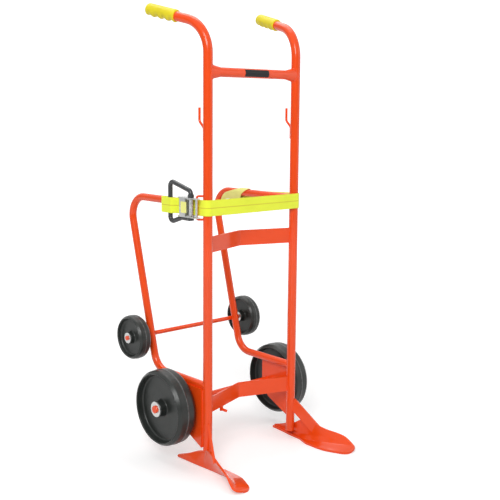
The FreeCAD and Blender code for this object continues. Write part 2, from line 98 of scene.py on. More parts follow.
# Belt: room to the tubes, height, runs behind the upright and through the buckle, and drop at the back
BELT_GAP = 0.0003
BELT_MID_Z = 0.837
BELT_BACK_RUN = 0.300
BELT_THROUGH_RUN = 0.042
BELT_DROP = 0.012
# How square the webbing's profile is, across and through
PROFILE_POWERS = (0.14, 0.45)
# Tail: start from the corner of its box, run of the first bend, and where it ends behind the upright
TAIL_START = (-0.001, 0.002)
TAIL_BEND_RUN = 0.026
TAIL_RETURN = 0.150
# Sling: place along the tube, skew, width and its growth, slack, hang below the tube, squareness of edges
SLING_Y = UPRIGHT_Y + 0.287
SLING_SKEW = 0.0385
SLING_WIDTH = 0.080
SLING_WIDEN = 0.035
SLING_SLACK = 0.0004
SLING_HANG = 0.013
SLING_EDGE_POWER = 12
# Bare tab on the buckle: ends behind the upright, half height, rounding, thickness and depth into the plate
STICKER_PLACE = (0.0450, 0.0735)
STICKER_HALF_HEIGHT = 0.0175
STICKER_ROUND = 0.002
STICKER_THICKNESS = 0.0004
STICKER_SINK = 0.0001

# Feet: thickness, heel, length, inner edge, bend, runs to the toe, wall's run and rise, and the wall's depth
FOOT_THICKNESS = 0.008
HEEL_Y = UPRIGHT_Y + 0.112
FOOT_LENGTH = 0.352
FOOT_INNER_X = 0.177
FOOT_BEND_X = 0.205
TOE_INNER_RUN = 0.049
TOE_BEND_RUN = 0.031
WALL_OUT_RUN = 0.063
WALL_RISE = 0.046
WALL_SHIFT = (0.0064, -0.0044)
# Shares along the foot: length, runs of the inner edge, of the bend and of the wall's edge, the wall's rise
FOOT_SHARES = np.array([
    (0.0, 0.653, 0.387, 0.206, 0.087),
    (0.131, 0.571, 0.355, 0.095, 0.435),
    (0.267, 0.449, 0.29, -0.095, 0.87),
    (0.341, 0.408, 0.226, -0.095, 1.02),
    (0.403, 0.388, 0.161, 0.063, 1.30),
    (0.48, 0.224, 0.097, 0.206, 1.33),
    (0.56, 0.061, 0.065, 0.357, 1.20),
    (0.673, 0.051, 0.0, 0.54, 0.98),
    (0.773, 0.102, 0.194, 0.73, 0.87),
    (0.849, 0.28, 0.484, 0.873, 0.739),
    (0.909, 0.469, 0.677, 0.968, 0.457),
    (0.949, 0.592, 0.839, 1.0, 0.239),
    (0.98, 0.755, 0.935, 0.905, 0.109),
    (1.0, 1.0, 1.0, 0.683, 0.03),
])
CREASE_SHARES = (0.5, 0.42)
# Folds of the upper face: share of the length, run and rise of the lower fold, run and rise of the upper one
FOLD_SHARES = np.array([
    (0.0, 0.127, 0.0, 0.19, 0.0),
    (0.131, 0.087, 0.0, 0.175, 0.0),
    (0.267, 0.016, 0.0, 0.13, 0.0),
    (0.341, -0.03, 0.0, 0.093, 0.077),
    (0.403, -0.08, 0.0, 0.077, 0.175),
    (0.48, -0.15, 0.0, 0.088, 0.285),
    (0.56, -0.028, 0.0, 0.15, 0.368),
    (0.673, 0.081, 0.11, 0.297, 0.468),
    (0.773, 0.264, 0.18, 0.508, 0.517),
    (0.849, 0.464, 0.20, 0.718, 0.528),
    (0.909, 0.676, 0.205, 0.88, 0.43),
    (0.949, 0.879, 0.181, 0.96, 0.22),
    (0.98, 0.84, 0.085, 0.885, 0.105),
    (1.0, 0.64, 0.02, 0.67, 0.028),
])
# Cuts at the section's corners, from the inner edge over both folds to the wall's edge and back underneath
FOOT_CUTS = np.array([0.0016, 0.0035, 0.0035, 0.002, 0.002, 0.007, 0.005, 0.0016])
FOOT_RINGS = 180
FOOT_CROWDING = 0.9

# Wheels: tread width, bore, hub radius, rim thickness, web thickness, shoulder and crown of the tread
WHEELS = {
    "main": (0.070, 0.01256, 0.025, 0.014, 0.022, 0.011, 0.0018),
    "rear": (0.045, 0.00756, 0.018, 0.011, 0.015, 0.008, 0.0012),
}
# Small steps of a wheel's section, and the half width and height share of the line round its tread
HUB_STEP = 0.002
RIM_STEP = 0.003
RIM_LIP = 0.002
LINE_HALF = 0.0045
LINE_FOOT_SHARE = 0.8
# Cuts at the corners of a wheel's section
BORE_CUT = 0.0005
HUB_CUT = 0.002
WEB_HUB_CUT = 0.005
WEB_RIM_CUT = 0.006
RIM_CUT = 0.002
SHOULDER_CUT = 0.003
CROWN_CUT = 0.004
LINE_FOOT_CUT = 0.0012
LINE_TOP_CUT = 0.0016

# Weld beads: radius, ripple and its pitch, width left at the ends, and a direction that no seam follows
BEAD_R = 0.0022
BEAD_RIPPLE = 0.14
BEAD_PITCH = 0.0045
BEAD_END = 0.15
BEAD_ASIDE = (0.6, 0.7, 0.39)
# Lines that the beads follow, as the frame has them
REAR_FRAME_ENDS = (0.845, 0.263)
CROSS_TUBE_Z = 1.251
CROSS_SPREAD = (0.049, 0.010)
CRADLE_Z = (0.7195, 0.1975)
CRADLE_HALF_HEIGHT = 0.0255
CRADLE_SEAMS = ((0.17174, 0.00202), (0.17372, 0.00768))
AXLE_PLATE_SEAM = (0.1988, 0.0086)
AXLE_PLATE_ENDS = (0.062, 0.254)

# Coats: share of the second shade, scale of the grain, least and most roughness, depth, other shader inputs
RUBBER = (1.4, 900.0, 0.30, 0.42, 0.0002, {"Specular IOR Level": 0.4})
FINISHES = {
    PAINT: (0.93, 700.0, 0.20, 0.28, 0.00004,
            {"Coat Weight": 0.40, "Coat Roughness": 0.05, "Specular IOR Level": 0.20}),
    "Main wheel rubber": RUBBER,
    "Rear wheel rubber": RUBBER,
    "Bright zinc washer": (0.85, 300.0, 0.22, 0.38, 0.0002, {"Metallic": 0.85}),
    "Zinc plate": (0.8, 260.0, 0.24, 0.44, 0.0002, {"Metallic": 0.9}),
    "Dark lever coat": (1.3, 900.0, 0.22, 0.32, 0.0001, {}),
    "Pale tab": (0.93, 400.0, 0.35, 0.45, 0.0001, {}),
    "Bare label": (1.8, 500.0, 0.30, 0.42, 0.0001, {"Specular IOR Level": 0.25}),
    "Yellow grip": (0.86, 650.0, 0.40, 0.55, 0.0003, {"Specular IOR Level": 0.30}),
}
COAT_BUMP = 0.25
COAT_INPUTS = [("Vector", "NodeSocketVector"), ("Colour", "NodeSocketColor"), ("Shade", "NodeSocketColor"),
               ("Grain", "NodeSocketFloat"), ("Smooth", "NodeSocketFloat"), ("Rough", "NodeSocketFloat")]
COAT_OUTPUTS = [("Colour", "NodeSocketColor"), ("Roughness", "NodeSocketFloat"),
                ("Height", "NodeSocketFloat")]
TREAD_HIGHLIGHT_INPUTS = [("Vector", "NodeSocketVector"), ("Colour", "NodeSocketColor"),
                ("Roughness", "NodeSocketFloat"), ("Axle Y", "NodeSocketFloat"),
                ("Axle Z", "NodeSocketFloat"), ("Outer radius", "NodeSocketFloat")]
TREAD_HIGHLIGHT_OUTPUTS = COAT_OUTPUTS[:2]
WEAVE_INPUTS = [("Map", "NodeSocketVector"), ("Vector", "NodeSocketVector"), ("Turn", "NodeSocketFloat"),
                ("Half width", "NodeSocketFloat"), ("Colour", "NodeSocketColor"),
                ("Cloud shade", "NodeSocketColor"), ("Weave shade", "NodeSocketColor"),
                ("Hem shade", "NodeSocketColor"), ("Thread", "NodeSocketColor"),
                ("Thread share", "NodeSocketFloat")]
# Noise of the coat: scale, detail and roughness, and the range of its values that counts
CLOUD = (7.0, 3.0)
CLOUD_RANGE = (0.35, 0.70)
SPECKS = (60.0, 4.0, 0.6)
SPECK_RANGE = (0.35, 0.75)

# Treads: shares of the radius where the painted highlight on the tread and the painted highlight line on its
# ridge begin and are full, noise that breaks them up, and their colours
TREAD_SHARES = (0.97, 0.998)
RIDGE_SHARES = (0.992, 0.998)
TREAD_NOISE = (90.0, 5.0, 0.65)
TREAD_NOISE_RANGE = (0.40, 0.70, 0.25, 1.0)
# Painted highlight: lighter colours mixed into the tread's shoulders and along its middle ridge
TREAD_HIGHLIGHT_SHARE = 0.30
TREAD_HIGHLIGHT_COLOUR = (0.05, 0.05, 0.05, 1.0)
RIDGE_HIGHLIGHT_COLOUR = (0.16, 0.17, 0.17, 1.0)
WORN_ROUGHNESS = 0.12

# Weave: distances from the middle for the thread line and the hem, cloud, and pairs of share and shade
THREAD_LINE = (0.0008, 0.0017)
THREAD_SHARE = 0.75
HEM = (0.0225, 0.0245)
WEAVE_CLOUD = (18.0, 3.0)
WEAVE_CLOUD_RANGE = (0.35, 0.75)
WEAVE_CLOUD_SHADE = 0.94
WEAVE_SHARE, WEAVE_SHADE = 0.22, 0.72
HEM_SHARE, HEM_SHADE = 0.25, 0.65
WEAVE_ROUGHNESS = (0.62, 0.80)
WEAVE_SHEEN = 0.25
WEAVE_SPECULAR = 0.25
WEAVE_BUMP = 0.5
WEAVE_DEPTH = 0.0004

# Most of a side that an eased corner takes, and the least length that counts as one
CUT_LIMIT = 0.45
TINY = 1e-9
# Edges sharper than these angles stay sharp
SKIN_SHARP = math.radians(50)
BAND_SHARP = math.radians(40)

# Stage: floor's front and back, cove, top of the wall, half width, and the floor's own light by distance
FLOOR_FRONT = -6.0
FLOOR_BACK = 4.0
COVE_R = 2.0
WALL_TOP = 7.0
FLOOR_HALF_WIDTH = 9.0
FLOOR_COLOUR = (0.80, 0.80, 0.80, 1.0)
FLOOR_ROUGHNESS = 0.9
GLOW_RANGE = (0.8, 4.0, 0.32, 0.78)
# Lamps: place, size and power
LAMPS = {
    "key": ((-3.2, -2.6, 3.2), 2.0, 145.0),
    "fill": ((2.8, -2.6, 1.8), 2.6, 26.0),
    "top": ((0.3, 1.2, 4.2), 3.0, 72.0),
}
LAMP_AIM = (0.0, 0.0, 0.75)
# World: brightness in reflections by height, and light on the object
WHITE = (1.0, 1.0, 1.0, 1.0)
MIRROR_RANGE = (0.05, 0.6, 0.30, 1.0)
WORLD_FILL = 0.31

# The photograph's camera
CAMERA_PLACE = (-1.9191, UPRIGHT_Y - 2.1214, 1.1413)
CAMERA_AZIMUTH = math.radians(-41.99)
CAMERA_PITCH = math.radians(9.04)
CAMERA_ROLL = math.radians(0.473)
CAMERA_LENS = 63.95
CAMERA_SENSOR = 36.0
CAMERA_REACH = 50.0


class TrolleySizes(bpy.types.PropertyGroup):
    """Sizes of the soft pieces and the grips."""
    belt_width: bpy.props.FloatProperty(
        name="Belt width", description="Width of the webbing", default=0.050, unit="LENGTH")
    belt_thickness: bpy.props.FloatProperty(
        name="Belt thickness", description="Thickness of the webbing", default=0.0026, unit="LENGTH")
    weave_pitch: bpy.props.FloatProperty(
        name="Weave pitch", description="Distance from rib to rib of the weave", default=0.0021,
        unit="LENGTH")
    grip_length: bpy.props.FloatProperty(
        name="Grip length", description="Length of a hand grip", default=0.120, unit="LENGTH")
    grip_diameter: bpy.props.FloatProperty(
        name="Grip diameter", description="Largest diameter of a hand grip", default=0.0395, unit="LENGTH")
    finger_depth: bpy.props.FloatProperty(
        name="Finger depth", description="Depth of the hollows under a grip", default=0.0046, unit="LENGTH")
    finger_count: bpy.props.IntProperty(
        name="Finger hollows", description="Number of hollows under a grip", default=4, min=1)


class TrolleyColours(bpy.types.PropertyGroup):
    """Colours of the finishes."""
    paint: bpy.props.FloatVectorProperty(
        name="Frame paint", description="Gloss orange-red coat of the frame", subtype="COLOR", size=4,
        default=(0.87, 0.073, 0.006, 1.0))
    grip: bpy.props.FloatVectorProperty(
        name="Grip", description="Yellow of the moulded grips", subtype="COLOR", size=4,
        default=(0.82, 0.69, 0.022, 1.0))
    belt: bpy.props.FloatVectorProperty(
        name="Belt", description="Bright yellow of the webbing", subtype="COLOR", size=4,
        default=(0.90, 0.99, 0.050, 1.0))
    sling: bpy.props.FloatVectorProperty(
        name="Sling", description="Paler yellow of the sewn eye", subtype="COLOR", size=4,
        default=(0.95, 0.94, 0.28, 1.0))
    belt_line: bpy.props.FloatVectorProperty(
        name="Belt line", description="Darker thread along the middle of the webbing", subtype="COLOR",
        size=4, default=(0.62, 0.48, 0.03, 1.0))
    wheel: bpy.props.FloatVectorProperty(
        name="Wheel", description="Charcoal of the wheels", subtype="COLOR", size=4,
        default=(0.0145, 0.017, 0.0155, 1.0))
    zinc: bpy.props.FloatVectorProperty(
        name="Zinc", description="Plated steel of the buckle and washers", subtype="COLOR", size=4,
        default=(0.66, 0.67, 0.66, 1.0))
    lever: bpy.props.FloatVectorProperty(
        name="Lever", description="Dark coat of the ring lever", subtype="COLOR", size=4,
        default=(0.036, 0.039, 0.041, 1.0))
    label: bpy.props.FloatVectorProperty(
        name="Label", description="Bare plate on the cross tube", subtype="COLOR", size=4,
        default=(0.007, 0.007, 0.008, 1.0))


def feed(tree, sockets, values):
    """Links each value that is a socket to its input and sets each other one as the input's own value."""
    for socket, value in zip(sockets, values):
        if isinstance(value, bpy.types.NodeSocket):
            tree.links.new(value, socket)
        else:
            socket.default_value = value


def math_node(tree, operation, *values):
    """One step of arithmetic on sockets or plain numbers; returns the result socket."""
    made = tree.nodes.new("ShaderNodeMath")
    made.operation = operation
    feed(tree, made.inputs, values)
    return made.outputs["Value"]


def blend_colours(tree, share, first, second):
    """Mixes two colours, each a socket or a plain colour, by the share."""
    made = tree.nodes.new("ShaderNodeMix")
    made.data_type = "RGBA"
    slots = [s for s in made.inputs if s.type == "RGBA"]
    feed(tree, [made.inputs["Factor"]] + slots, (share, first, second))
    return next(s for s in made.outputs if s.type == "RGBA")


def noise(tree, vector, scale, detail=2.0, roughness=0.5):
    """A noise texture on the vector; returns its grey value."""
    made = tree.nodes.new("ShaderNodeTexNoise")
    sockets = [made.inputs[label] for label in ("Vector", "Scale", "Detail", "Roughness")]
    feed(tree, sockets, (vector, scale, detail, roughness))
    return made.outputs["Fac"]


def spread(tree, value, low, high, to_low, to_high):
    """Maps a value from one range to another and holds it at the ends."""
    made = tree.nodes.new("ShaderNodeMapRange")
    sockets = [made.inputs[label] for label in ("Value", "From Min", "From Max", "To Min", "To Max")]
    feed(tree, sockets, (value, low, high, to_low, to_high))
    return made.outputs["Result"]


def new_group(name, inputs, outputs):
    """An empty node group with the named sockets; returns its tree, its inputs and its outputs."""
    tree = bpy.data.node_groups.new(name, "ShaderNodeTree")
    for label, kind in inputs:
        tree.interface.new_socket(label, in_out="INPUT", socket_type=kind)
    for label, kind in outputs:
        tree.interface.new_socket(label, in_out="OUTPUT", socket_type=kind)
    return tree, tree.nodes.new("NodeGroupInput").outputs, tree.nodes.new("NodeGroupOutput").inputs


def coat_group():
    """Uneven coat: broad cloudy shade, finer specks in the gloss, and a fine dimpled height."""
    found = bpy.data.node_groups.get("Uneven coat")
    if found:
        return found
    tree, given, out = new_group("Uneven coat", COAT_INPUTS, COAT_OUTPUTS)
    cloud = spread(tree, noise(tree, given["Vector"], *CLOUD), *CLOUD_RANGE, 0.0, 1.0)
    colour = blend_colours(tree, cloud, given["Colour"], given["Shade"])
    specks = noise(tree, given["Vector"], *SPECKS)
    gloss = spread(tree, specks, *SPECK_RANGE, given["Smooth"], given["Rough"])
    grain = noise(tree, given["Vector"], given["Grain"])
    feed(tree, out, (colour, gloss, grain))
    return tree


def tread_highlight_group():
    """Painted tread highlights: the radius from the axle as a share of the outer one decides where a painted
    highlight lightens the tread and where a painted highlight line runs along its ridge; the same patches
    also raise the roughness.
    """
    found = bpy.data.node_groups.get("Painted tread highlights")
    if found:
        return found
    tree, given, out = new_group("Painted tread highlights", TREAD_HIGHLIGHT_INPUTS, TREAD_HIGHLIGHT_OUTPUTS)
    split = tree.nodes.new("ShaderNodeSeparateXYZ")
    tree.links.new(given["Vector"], split.inputs["Vector"])
    y = math_node(tree, "SUBTRACT", split.outputs["Y"], given["Axle Y"])
    z = math_node(tree, "SUBTRACT", split.outputs["Z"], given["Axle Z"])
    square = math_node(tree, "ADD", math_node(tree, "MULTIPLY", y, y), math_node(tree, "MULTIPLY", z, z))
    share = math_node(tree, "DIVIDE", math_node(tree, "SQRT", square), given["Outer radius"])
    tread = spread(tree, share, *TREAD_SHARES, 0.0, 1.0)
    ridge = spread(tree, share, *RIDGE_SHARES, 0.0, 1.0)
    tread_noise = spread(tree, noise(tree, given["Vector"], *TREAD_NOISE), *TREAD_NOISE_RANGE)
    # Painted highlight: the tread's shoulders and its ridge line are mixed towards lighter colours, broken up
    # by noise
    tread_patches = math_node(tree, "MULTIPLY", tread, tread_noise)
    highlight_share = math_node(tree, "MULTIPLY", tread_patches, TREAD_HIGHLIGHT_SHARE)
    highlighted = blend_colours(tree, highlight_share, given["Colour"], TREAD_HIGHLIGHT_COLOUR)
    ridge_lit = blend_colours(tree, math_node(tree, "MULTIPLY", ridge, tread_noise), highlighted, RIDGE_HIGHLIGHT_COLOUR)
    worn = math_node(tree, "MULTIPLY", tread_patches, WORN_ROUGHNESS)
    feed(tree, out, (ridge_lit, math_node(tree, "ADD", given["Roughness"], worn)))
    return tree


def weave_group():
    """Weave: sines along and across multiplied, a thread line in the middle and darker selvedges."""
    found = bpy.data.node_groups.get("Weave")
    if found:
        return found
    tree, given, out = new_group("Weave", WEAVE_INPUTS, COAT_OUTPUTS)
    split = tree.nodes.new("ShaderNodeSeparateXYZ")
    tree.links.new(given["Map"], split.inputs["Vector"])
    along, side = split.outputs["X"], split.outputs["Y"]
    ribs = math_node(tree, "SINE", math_node(tree, "MULTIPLY", side, given["Turn"]))
    picks = math_node(tree, "SINE", math_node(tree, "MULTIPLY", along, given["Turn"]))
    weave = spread(tree, math_node(tree, "MULTIPLY", ribs, picks), -1.0, 1.0, 0.0, 1.0)
    middle = math_node(tree, "ABSOLUTE", math_node(tree, "SUBTRACT", side, given["Half width"]))
    line = spread(tree, middle, *THREAD_LINE, 1.0, 0.0)
    hem = spread(tree, middle, *HEM, 0.0, 1.0)
    cloud = spread(tree, noise(tree, given["Vector"], *WEAVE_CLOUD), *WEAVE_CLOUD_RANGE, 0.0, 1.0)
    colour = blend_colours(tree, cloud, given["Colour"], given["Cloud shade"])
    for mask, share, over in (
        (weave, WEAVE_SHARE, given["Weave shade"]),
        (line, given["Thread share"], given["Thread"]),
        (hem, HEM_SHARE, given["Hem shade"]),
    ):
        colour = blend_colours(tree, math_node(tree, "MULTIPLY", mask, share), colour, over)
    feed(tree, out, (colour, spread(tree, weave, 0.0, 1.0, *WEAVE_ROUGHNESS), weave))
    return tree


def place_group(tree, group, values):
    """Places a node group in a material and feeds its inputs in order with sockets or plain values."""
    made = tree.nodes.new("ShaderNodeGroup")
    made.node_tree = group
    feed(tree, made.inputs, values)
    return made


def new_material(name):
    """A material with one principled shader; returns the material, its tree and the shader."""
    material = bpy.data.materials.new(name)
    material.use_nodes = True
    tree = material.node_tree
    return material, tree, tree.nodes["Principled BSDF"]


def bump(tree, shader, height, strength, distance):
    """Feeds a height through a bump node into the shader's normal."""
    made = tree.nodes.new("ShaderNodeBump")
    sockets = [made.inputs[label] for label in ("Height", "Strength", "Distance")]
    feed(tree, sockets, (height, strength, distance))
    tree.links.new(made.outputs["Normal"], shader.inputs["Normal"])


def darker(colour, share):
    """The colour with its red, green and blue multiplied by the share."""
    return (colour[0] * share, colour[1] * share, colour[2] * share, 1.0)


def coated(name, colour, axle=None):
    """A material of the uneven coat on Object coordinates, set by its row of FINISHES.

    axle gives a wheel's axle, as its place in Y and Z, and the outer radius; its tread then gets painted
    highlights and patches of higher roughness.
    """
    shade, grain, least, most, depth, others = FINISHES[name]
    material, tree, shader = new_material(name)
    place = tree.nodes.new("ShaderNodeTexCoord")
    values = (place.outputs["Object"], colour, darker(colour, shade), grain, least, most)
    coat = place_group(tree, coat_group(), values)
    bump(tree, shader, coat.outputs["Height"], COAT_BUMP, depth)
    if axle:
        values = (place.outputs["Object"], coat.outputs["Colour"], coat.outputs["Roughness"], *axle)
        coat = place_group(tree, tread_highlight_group(), values)
    tree.links.new(coat.outputs["Colour"], shader.inputs["Base Color"])
    tree.links.new(coat.outputs["Roughness"], shader.inputs["Roughness"])
    for label, value in others.items():
        shader.inputs[label].default_value = value
    return material


def dress(names, material):
    """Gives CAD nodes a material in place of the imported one."""
    for name in names:
        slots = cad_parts[name].data.materials
        slots.clear()
        slots.append(material)


def settle(piece, material, body, node=None):
    """Gives a new piece its material and the body that it rides on, and hides the node that it stands for."""
    piece.data.materials.append(material)
    if node:
        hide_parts(node)
    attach(piece, body)


def new_piece(name, points, faces):
    """An object with a smooth mesh of the given points and faces."""
    mesh = bpy.data.meshes.new(name)
    mesh.from_pydata(points.tolist(), [], faces)
    mesh.polygons.foreach_set("use_smooth", np.ones(len(mesh.polygons), dtype=bool))
    piece = bpy.data.objects.new(name, mesh)
    bpy.context.scene.collection.objects.link(piece)
    return piece


def finish_skin(piece, corners, sharp):
    """Gives a skin its map, one place in metres for each corner of each face, and marks its sharp edges."""
    layer = piece.data.uv_layers.new(name="Along")
    layer.data.foreach_set("uv", corners.astype(np.float32).ravel())
    piece.data.set_sharp_from_angle(angle=sharp)
    piece.data.update()
    return piece


def map_corners(uv):
    """Places on the map for the corners of four-sided faces, from a grid of places."""
    return np.stack([uv[:-1, :-1], uv[:-1, 1:], uv[1:, 1:], uv[1:, :-1]], axis=-2).reshape(-1, 4, 2)


def quad_volume(points, quads):
    """Six times the volume that four-sided faces span with the origin, each as two triangles."""
    a, b, c, d = (points[quads[:, k]] for k in range(4))
    return (np.cross(a, b) * c).sum() + (np.cross(a, c) * d).sum()


def skin(name, rings, uv=None):
    """A closed skin over rings of points.

    rings is an array (m, n, 3): n points round each of m rings. Neighbouring points of neighbouring rings
    make a four-sided face, and a single flat face closes each end. The order is turned round where the
    enclosed volume comes out negative, so that faces point outwards. uv is an array (m, n + 1, 2) in metres.
    """
    m, n = rings.shape[:2]
    index = np.arange(m * n).reshape(m, n)
    beside = np.roll(index, -1, axis=1)
    quads = np.stack([index[:-1], beside[:-1], beside[1:], index[1:]], axis=-1).reshape(-1, 4)
    points = rings.reshape(-1, 3)
    ends = [index[0][::-1], index[-1]]
    volume = quad_volume(points, quads)
    for end in ends:
        p = points[end]
        volume += (np.cross(np.broadcast_to(p[0], p[1:-1].shape), p[1:-1]) * p[2:]).sum()
    if uv is None:
        uv = np.zeros((m, n + 1, 2))
    corners = map_corners(uv)
    if volume < 0:
        quads = quads[:, ::-1]
        corners = corners[:, ::-1]
        ends = [end[::-1] for end in ends]
    piece = new_piece(name, points, quads.tolist() + [end.tolist() for end in ends])
    return finish_skin(piece, np.concatenate([corners.reshape(-1, 2), np.zeros((2 * n, 2))]), SKIN_SHARP)


def band_skin(name, rings, uv):
    """A ring-shaped closed skin over rings of points, where the last ring joins the first one again.

    rings is an array (m, n, 3) and uv an array (m + 1, n + 1, 2) in metres.
    """
    m, n = rings.shape[:2]
    index = np.arange(m * n).reshape(m, n)
    below = np.roll(index, -1, axis=0)
    quads = np.stack([index, np.roll(index, -1, axis=1), np.roll(below, -1, axis=1), below], axis=-1)
    quads = quads.reshape(-1, 4)
    corners = map_corners(uv)
    points = rings.reshape(-1, 3)
    if quad_volume(points, quads) < 0:
        quads = quads[:, ::-1]
        corners = corners[:, ::-1]
    return finish_skin(new_piece(name, points, quads.tolist()), corners, BAND_SHARP)


def distances(path):
    """Length along a path at each of its points."""
    steps = np.linalg.norm(np.diff(path, axis=0), axis=1)
    return np.concatenate([[0.0], np.cumsum(steps)])


def directions(path):
    """Unit tangents at the points of a path."""
    tangent = np.gradient(path, axis=0)
    return tangent / np.linalg.norm(tangent, axis=1)[:, None]


def strap(name, plan, heights, width, thickness):
    """Webbing on edge over a plan line at the given heights; returns the piece and its length.

    The profile is a flat loop, width wide and thickness thick, with rounded selvedges: at angle t its place
    across is half the width times the cosine and its place through is half the thickness times the sine, each
    raised to a small power with its sign kept. Each ring stands on a point of the path, across along the
    upward direction and through along the path's level normal. The map gives metres along and across.
    """
    path = np.column_stack([plan, heights])
    tangent = directions(path)
    normals = np.cross(tangent, np.array([0.0, 0.0, 1.0]))
    normals /= np.linalg.norm(normals, axis=1)[:, None]
    across = np.cross(normals, tangent)
    t = np.linspace(0.0, 2 * np.pi, 48, endpoint=False)
    cos, sin = np.cos(t), np.sin(t)
    wide = np.sign(cos) * np.abs(cos) ** PROFILE_POWERS[0] * width / 2
    thick = np.sign(sin) * np.abs(sin) ** PROFILE_POWERS[1] * thickness / 2
    rings = path[:, None] + across[:, None] * wide[None, :, None] + normals[:, None] * thick[None, :, None]
    along = distances(path)
    u = np.broadcast_to(along[:, None], (len(path), len(t) + 1))
    v = np.broadcast_to(np.append(wide, wide[0])[None, :] + width / 2, u.shape)
    return skin(name, rings, np.stack([u, v], axis=-1)), float(along[-1])


def arc(centre, radius, start, end, count):
    """Points in plan on a circle from one angle to another."""
    t = np.linspace(start, end, count)
    return np.stack([centre[0] + radius * np.cos(t), centre[1] + radius * np.sin(t)], axis=-1)


def run(start, end, count):
    """Points on a straight line, without its last one."""
    t = np.linspace(0.0, 1.0, count, endpoint=False)[:, None]
    return np.asarray(start) * (1 - t) + np.asarray(end) * t


def smooth(table, column, at):
    """A monotone cubic through a column of a table over its first column.

    Each inner slope is the harmonic mean of the chords beside it, or zero where they differ in sign.
    """
    x, y = table[:, 0], table[:, column]
    step = np.diff(x)
    chord = np.diff(y) / step
    both = chord[:-1] * chord[1:]
    total = np.where(both > 0, chord[:-1] + chord[1:], 1.0)
    slope = np.concatenate([chord[:1], np.where(both > 0, 2 * both / total, 0.0), chord[-1:]])
    k = np.clip(np.searchsorted(x, at) - 1, 0, len(step) - 1)
    t = (at - x[k]) / step[k]
    start = (1 + 2 * t) * (1 - t) ** 2 * y[k] + t * (1 - t) ** 2 * step[k] * slope[k]
    return start + t * t * (3 - 2 * t) * y[k + 1] + t * t * (t - 1) * step[k] * slope[k + 1]


def eased_corners(outline, cuts, count):
    """A closed outline (m, n, 2) with each corner cut back by its own length and turned by a parabola.

    cuts gives one length for each of the n corners; a cut takes at most the share CUT_LIMIT of a side.
    """
    before = np.roll(outline, 1, axis=1) - outline
    after = np.roll(outline, -1, axis=1) - outline
    t = np.linspace(0.0, 1.0, count)[None, None, :, None]
    ends = []
    for side in (before, after):
        length = np.linalg.norm(side, axis=-1, keepdims=True)
        share = cuts[None, :, None] / np.maximum(length, TINY)
        ends.append(outline + side * np.minimum(share, CUT_LIMIT))
    first, corner, last = (place[:, :, None] for place in (ends[0], outline, ends[1]))
    eased = (1 - t) ** 2 * first + 2 * t * (1 - t) * corner + t ** 2 * last
    return eased.reshape(outline.shape[0], -1, 2)


class TROLLEY_OT_paint(bpy.types.Operator):
    """Orange-red gloss coat on the tubes, plates and axles, ready for the feet and welds"""
    bl_idname = "trolley.paint"
    bl_label = "Frame paint"

    def execute(self, context):
        dress(PAINTED, coated(PAINT, tuple(context.scene.trolley_colours.paint)))
        return {"FINISHED"}


class TROLLEY_OT_feet(bpy.types.Operator):
    """The feet: pointed heel, leaning wall and dished spoon toe"""
    bl_idname = "trolley.feet"
    bl_label = "Feet"

    def foot(self, name, sign):
        """A section of eight corners carried along the foot, its corners following monotone cubics.

        At share s of the length the upper face runs from the inner edge over a lower and an upper fold to the
        wall's edge. The underside comes down at the wall's depth over a crease to the bend on the floor.
        """
        s = np.linspace(0.0, 1.0, FOOT_RINGS) ** FOOT_CROWDING
        inner, bend, edge, rise = (smooth(FOOT_SHARES, k, s) for k in range(1, 5))
        inner = FOOT_INNER_X + inner * TOE_INNER_RUN
        bend = FOOT_BEND_X + bend * TOE_BEND_RUN
        edge = FOOT_BEND_X + edge * WALL_OUT_RUN
        top = FOOT_THICKNESS + rise * WALL_RISE
        flat = np.full(len(s), FOOT_THICKNESS)
        low, low_rise, high, high_rise = (smooth(FOLD_SHARES, k, s) for k in range(1, 5))
        low = FOOT_BEND_X + low * WALL_OUT_RUN
        high = FOOT_BEND_X + high * WALL_OUT_RUN
        low_z = FOOT_THICKNESS + low_rise * WALL_RISE
        high_z = FOOT_THICKNESS + high_rise * WALL_RISE
        place, height = CREASE_SHARES
        crease = bend + place * (edge - bend)
        crease_z = flat + height * (top - flat)
        out, down = WALL_SHIFT
        x = np.stack([inner, low, high, edge, edge + out, crease + out, bend - down, inner], axis=-1)
        z = np.stack([flat, low_z, high_z, top, top + down, crease_z + down, 0 * flat, 0 * flat], axis=-1)
        outline = eased_corners(np.stack([x, z], axis=-1), FOOT_CUTS, 6)
        y = np.broadcast_to((HEEL_Y - s * FOOT_LENGTH)[:, None], outline.shape[:2])
        return skin(name, np.stack([sign * outline[..., 0], y, outline[..., 1]], axis=-1))

    def execute(self, context):
        for side, sign in SIDES.items():
            piece = self.foot("spoon_foot_" + side, sign)
            settle(piece, bpy.data.materials[PAINT], ROOT, "foot_" + side)
        return {"FINISHED"}


